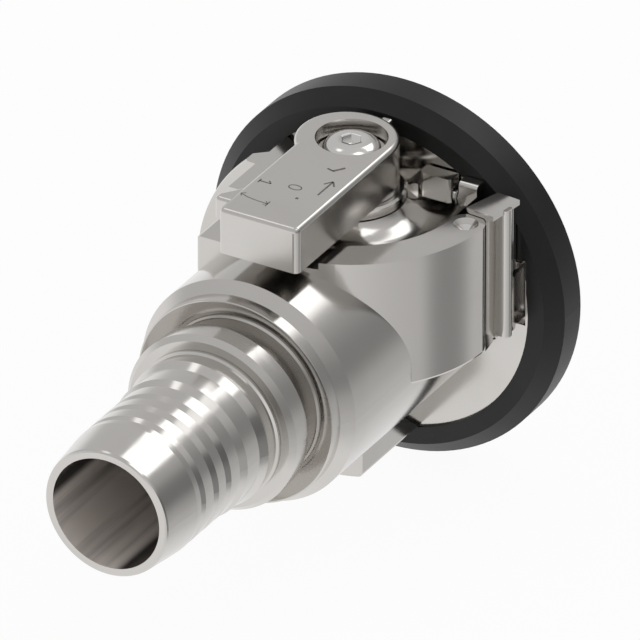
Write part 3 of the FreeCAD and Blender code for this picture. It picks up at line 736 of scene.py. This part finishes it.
@dataclass(frozen=True)
class LatchPlate:
    """A latch whose flat finger plate is hollowed into one smooth dip between pin and bead."""

    node: str
    body: str
    side: float
    start: float = 235.2
    end: float = 250.4
    depth: float = 2.3
    ease: float = 1.3
    plate_x: tuple[float, float] = (73.0, 74.7)
    overlap: float = 0.05
    cuts: int = 12

    def build(self, material: bpy.types.Material) -> None:
        """Copy the latch, cut its plate into strips and sink them.

        Args:
            material: The latch's finish.
        """
        solid = frame["nodes"][self.node]
        mesh = bmesh.new()
        mesh.from_mesh(solid.data)
        mesh.transform(solid.matrix_world)
        length = self.end - self.start
        for cut in range(1, self.cuts):
            place = (0.0, (self.start + length * cut / self.cuts) * MM, 0.0)
            parts = mesh.verts[:] + mesh.edges[:] + mesh.faces[:]
            bmesh.ops.bisect_plane(mesh, geom=parts, plane_co=place, plane_no=(0.0, 1.0, 0.0))
        inner, outer = self.plate_x
        for corner in mesh.verts:
            across = corner.co.x * self.side / MM
            along = (corner.co.y / MM - self.start) / length
            if inner < across < outer and 0.0 < along < 1.0 + self.overlap:
                corner.co.x -= self.side * self.depth * min(along, 1.0) ** self.ease * MM
        crisp(mesh)
        piece = new_piece(self.node + "_fine", mesh, self.body, slot_of(self.node), material)
        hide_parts(self.node)


@dataclass(frozen=True)
class Stroke:
    """One engraved stroke on the lever: a flat ribbon along corners in millimetres."""

    corners: tuple[tuple[float, float], ...]
    width: float = 0.7
    closed: bool = False

    def draw(self, mesh: bmesh.types.BMesh, height: float) -> None:
        """Add the ribbon to a mesh.

        Args:
            mesh: The mesh that takes the ribbon.
            height: The level that it lies at, in metres.
        """
        points = [Vector((x * MM, y * MM, height)) for x, y in self.corners]
        last = len(points) - 1
        rails = []
        for index, point in enumerate(points):
            before = points[index - 1] if index or self.closed else point
            after = points[(index + 1) % len(points)] if index < last or self.closed else point
            run = (after - before).normalized()
            side = Vector((-run.y, run.x, 0.0)) * (self.width * MM / 2)
            rails.append((mesh.verts.new(point + side), mesh.verts.new(point - side)))
        pairs = list(zip(rails, rails[1:]))
        if self.closed:
            pairs.append((rails[-1], rails[0]))
        for (left, right), (next_left, next_right) in pairs:
            mesh.faces.new((left, right, next_right, next_left))


def ring_of(x: float, y: float, half_x: float, half_y: float, steps: int = 28) -> Stroke:
    """Return a closed oval stroke.

    Args:
        x: The centre across the flow, in millimetres.
        y: The centre along the flow.
        half_x: Half of its size across.
        half_y: Half of its size along.
        steps: How many corners it has.

    Returns:
        The stroke.
    """
    turns = [2 * math.pi * step / steps for step in range(steps)]
    corners = tuple((x + half_x * math.cos(turn), y + half_y * math.sin(turn)) for turn in turns)
    return Stroke(corners, closed=True)


TURN_ARROW = (
    Stroke(((-18.6, 161.4), (-14.5, 159.8), (-8.6, 158.9), (-2.7, 158.7)), 0.6),
    Stroke(((-16.6, 162.9), (-18.9, 161.5), (-17.6, 159.4)), 0.6),
    Stroke(((-4.4, 157.1), (-2.4, 158.7), (-4.4, 160.5)), 0.6),
    Stroke(((-2.5, 156.2), (-2.5, 161.2)), 0.6),
)
FIGURE_ONE = (
    Stroke(((-17.4, 176.4), (-10.8, 176.4)), 0.9),
    Stroke(((-11.0, 176.4), (-12.9, 178.5)), 0.8),
    Stroke(((-17.2, 174.6), (-17.2, 178.2)), 0.8),
)
FIGURE_ZERO = (ring_of(1.0, 179.2, 3.4, 2.1),)
DOT = (Stroke(((7.0, 169.6), (7.0, 171.2)), 1.5),)
FLOW_ARROW = (
    Stroke(((14.2, 178.0), (14.2, 192.6)), 1.0),
    Stroke(((11.4, 188.9), (14.2, 193.0)), 1.0),
    Stroke(((17.0, 188.9), (14.2, 193.0)), 1.0),
)
TICK = (
    Stroke(((5.2, 203.0), (9.2, 201.9)), 1.2),
    Stroke(((8.8, 201.9), (12.6, 207.4)), 1.5),
)


@dataclass(frozen=True)
class LeverMarks:
    """The plain engraved signs on the lever: 1 and 0 for its two ends of travel, and arrows."""

    lift: float = 0.02
    strokes: tuple[Stroke, ...] = TURN_ARROW + FIGURE_ONE + FIGURE_ZERO + DOT + FLOW_ARROW + TICK

    def build(self, material: bpy.types.Material) -> None:
        """Cut the signs as one thin piece on the lever.

        Args:
            material: The finish of the engraved strokes.
        """
        mesh = bmesh.new()
        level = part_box("lever")[1].z + self.lift * MM
        for stroke in self.strokes:
            stroke.draw(mesh, level)
        piece = new_piece("lever_marks", mesh, "handle", "lever_steel", material)
        for face in piece.data.polygons:
            if face.normal.z < 0:
                face.flip()


@dataclass(frozen=True)
class PhotoCamera:
    """The camera at the photograph's view."""

    azimuth: float = 30.0
    elevation: float = 30.0
    aim: tuple[float, float, float] = (0.0, 0.2048, 0.0047)
    picture_width: float = 0.3099
    lens: float = 1500.0
    sensor: float = 36.0
    clip: tuple[float, float] = (1.0, 100.0)

    def build(self) -> None:
        """Place the camera."""
        data = bpy.data.cameras.new("camera")
        data.lens = self.lens
        data.sensor_width = self.sensor
        data.clip_start, data.clip_end = self.clip
        back = heading(180.0 - self.azimuth, self.elevation)
        camera = bpy.data.objects.new("camera", data)
        camera.location = Vector(self.aim) + back * (self.picture_width * self.lens / self.sensor)
        camera.rotation_euler = (-back).to_track_quat("-Z", "Y").to_euler()
        bpy.context.scene.collection.objects.link(camera)
        bpy.context.scene.camera = camera


@dataclass(frozen=True)
class PaleFloor:
    """The floor, which shows white to the camera and keeps the object's shadow."""

    centre: tuple[float, float] = (0.0, 0.2)
    half_size: float = 20.0
    drop: float = 0.4 * MM
    colour: Colour = (0.84, 0.84, 0.84)
    white_share: float = 0.95

    def build(self) -> None:
        """Lay the floor just under the lowest point of the object."""
        mesh = bmesh.new()
        bmesh.ops.create_grid(mesh, x_segments=1, y_segments=1, size=self.half_size)
        data = bpy.data.meshes.new("floor")
        mesh.to_mesh(data)
        mesh.free()
        data.materials.append(self._material())
        floor = bpy.data.objects.new("floor", data)
        floor.location = (*self.centre, CAD_BOUNDS[0].z - self.drop)
        floor.visible_glossy = False
        bpy.context.scene.collection.objects.link(floor)

    def _material(self) -> bpy.types.Material:
        """Return the matt material, nearly white where the camera sees it."""
        material = bpy.data.materials.new("pale_floor")
        material.use_nodes = True
        wiring = Wiring(material.node_tree)
        material.node_tree.nodes.remove(material.node_tree.nodes["Principled BSDF"])
        matte = wiring.node("BsdfDiffuse")
        matte.inputs["Color"].default_value = opaque(self.colour)
        white = wiring.node("Emission")
        mixed = wiring.node("MixShader")
        path = wiring.node("LightPath")
        seen = wiring.maths("ADD", path.outputs["Is Camera Ray"], path.outputs["Is Transmission Ray"])
        wiring.feed(mixed.inputs[0], wiring.maths("MULTIPLY", seen, self.white_share))
        wiring.feed(mixed.inputs[1], matte.outputs[0])
        wiring.feed(mixed.inputs[2], white.outputs[0])
        wiring.feed(material.node_tree.nodes["Material Output"].inputs["Surface"], mixed.outputs[0])
        return material


@dataclass(frozen=True)
class SoftPanel:
    """A bright panel of the studio, seen from the object as a rectangle."""

    azimuth: float
    elevation: float
    half_width: float
    half_height: float
    level: float
    edge: float = 0.06
    front: Ramp = Ramp(0.0, 0.05)

    def mask(self, wiring: Wiring, direction: Socket) -> Socket:
        """Tell where the panel is seen.

        Args:
            wiring: The world's wiring.
            direction: The direction looked in.

        Returns:
            A mask, 1 on the panel and 0 off it.
        """
        out = heading(self.azimuth, self.elevation)
        right = heading(self.azimuth + 90.0)
        depth = wiring.along(direction, out)
        mask = wiring.span(depth, self.front)
        for axis, half in ((right, self.half_width), (right.cross(out), self.half_height)):
            offset = wiring.maths("ABSOLUTE", wiring.maths("DIVIDE", wiring.along(direction, axis), depth))
            inside = wiring.span(offset, Ramp(half - self.edge, half, 1.0, 0.0))
            mask = wiring.maths("MULTIPLY", mask, inside)
        return mask


@dataclass(frozen=True)
class Surroundings:
    """The room: white below, grey above, dimmer on the right with a dark band, and soft panels.

    A ramp over height runs from -1 straight down to 1 straight up. A ramp over a
    side runs from -1 facing away from an azimuth to 1 facing it.

    Attributes:
        by_height: The level of the plain side, over height.
        dim_below: The level of the dim side below the horizon, over height.
        dim_horizon: What is left of that level above the horizon, over height.
        dim_above: What is added to it higher up, over height.
        dim_azimuth: The azimuth that the dim side faces.
        dim_side: The share of the dim side, over that side.
        low_side: The same share for low directions, over the band's side.
        low_end: How far that share has given way to the other, over height.
        band_azimuth: The azimuth that the dark band faces.
        band_side: The strength of the band, over its side.
        band_top: The end of the band at its top, over height.
        band_foot: The end of the band at its foot, over height.
        band_level: What the band leaves of the light, over its strength.
        panels: The soft panels.
    """

    by_height: Ramp = Ramp(-0.12, 0.26, 0.97, 0.64)
    dim_below: Ramp = Ramp(-0.86, -0.50, 0.97, 0.55)
    dim_horizon: Ramp = Ramp(-0.30, 0.05, 1.0, 0.55)
    dim_above: Ramp = Ramp(0.15, 0.85, 0.0, 0.35)
    dim_azimuth: float = 66.0
    dim_side: Ramp = Ramp(-0.25, 0.5)
    low_side: Ramp = Ramp(-0.9, 1.6)
    low_end: Ramp = Ramp(-0.48, -0.28)
    band_azimuth: float = 72.0
    band_side: Ramp = Ramp(0.87, 1.03)
    band_top: Ramp = Ramp(0.30, 0.55, 1.0, 0.0)
    band_foot: Ramp = Ramp(-0.75, -0.45)
    band_level: Ramp = Ramp(0.0, 1.0, 1.0, 0.5)
    panels: tuple[SoftPanel, ...] = (
        SoftPanel(17.0, 47.0, 0.36, 0.215, 2.1),
        SoftPanel(92.0, 69.0, 0.22, 0.24, 1.9),
        SoftPanel(-85.0, 62.0, 0.20, 0.12, 1.6),
    )

    def build(self) -> None:
        """Light the object with the room, which the camera sees as plain white."""
        world = bpy.data.worlds.new("studio")
        bpy.context.scene.world = world
        world.use_nodes = True
        wiring = Wiring(world.node_tree)
        direction = wiring.node("TexCoord").outputs["Generated"]
        shown = self._walls(wiring, direction)
        for panel in self.panels:
            shown = wiring.mix(panel.mask(wiring, direction), shown, panel.level)
        camera_ray = wiring.node("LightPath").outputs["Is Camera Ray"]
        seen = wiring.shade(camera_ray, shown, opaque((1.0, 1.0, 1.0)))
        wiring.feed(world.node_tree.nodes["Background"].inputs["Color"], seen)

    def _walls(self, wiring: Wiring, direction: Socket) -> Socket:
        """Return the level of the room without its panels.

        Args:
            wiring: The world's wiring.
            direction: The direction looked in.

        Returns:
            The level.
        """
        height = wiring.along(direction, Vector((0.0, 0.0, 1.0)))
        plain = wiring.span(height, self.by_height)
        below = wiring.span(height, self.dim_below)
        below = wiring.maths("MULTIPLY", below, wiring.span(height, self.dim_horizon))
        dim = wiring.maths("ADD", below, wiring.span(height, self.dim_above))
        to_band = self._facing(wiring, direction, height, self.band_azimuth)
        to_dim = self._facing(wiring, direction, height, self.dim_azimuth)
        share = wiring.mix(wiring.span(height, self.low_end), wiring.span(to_band, self.low_side),
                           wiring.span(to_dim, self.dim_side))
        band = wiring.span(to_band, self.band_side)
        for end in (self.band_top, self.band_foot):
            band = wiring.maths("MULTIPLY", band, wiring.span(height, end))
        return wiring.maths("MULTIPLY", wiring.mix(share, plain, dim), wiring.span(band, self.band_level))

    def _facing(self, wiring: Wiring, direction: Socket, height: Socket, azimuth: float) -> Socket:
        """Return how closely a direction points to an azimuth, seen from above.

        Args:
            wiring: The world's wiring.
            direction: The direction looked in.
            height: Its upward part.
            azimuth: Degrees from the flow towards +X.

        Returns:
            The cosine of the angle between the two.
        """
        square = wiring.maths("SUBTRACT", 1.0, wiring.maths("MULTIPLY", height, height))
        level = wiring.maths("MAXIMUM", wiring.maths("SQRT", square), LEAST_LEVEL)
        return wiring.maths("DIVIDE", wiring.along(direction, heading(azimuth)), level)


def main() -> None:
    """Build the finishes, dress the coupling and set up the studio."""
    logging.basicConfig(level=logging.INFO)
    groups = SurfaceGroups()
    finishes = {finish.slot: finish.build(groups) for finish in (*STEEL_FINISHES, RubberFinish())}
    finishes["bore"] = BoreFinish().build(groups)
    Coupling(finishes).dress()
    LeverMarks().build(EngravedFinish().build(groups))
    LeverBolt().build(finishes["bright_steel"])
    for node, body, side in (("latch_right", "latch_r", 1.0), ("latch_left", "latch_l", -1.0)):
        LatchPlate(node, body, side).build(finishes[slot_of(node)])
    for stage in (PhotoCamera(), PaleFloor(), Surroundings()):
        stage.build()
    bpy.context.scene.view_settings.view_transform = "Standard"


if __name__ == "__main__":
    main()
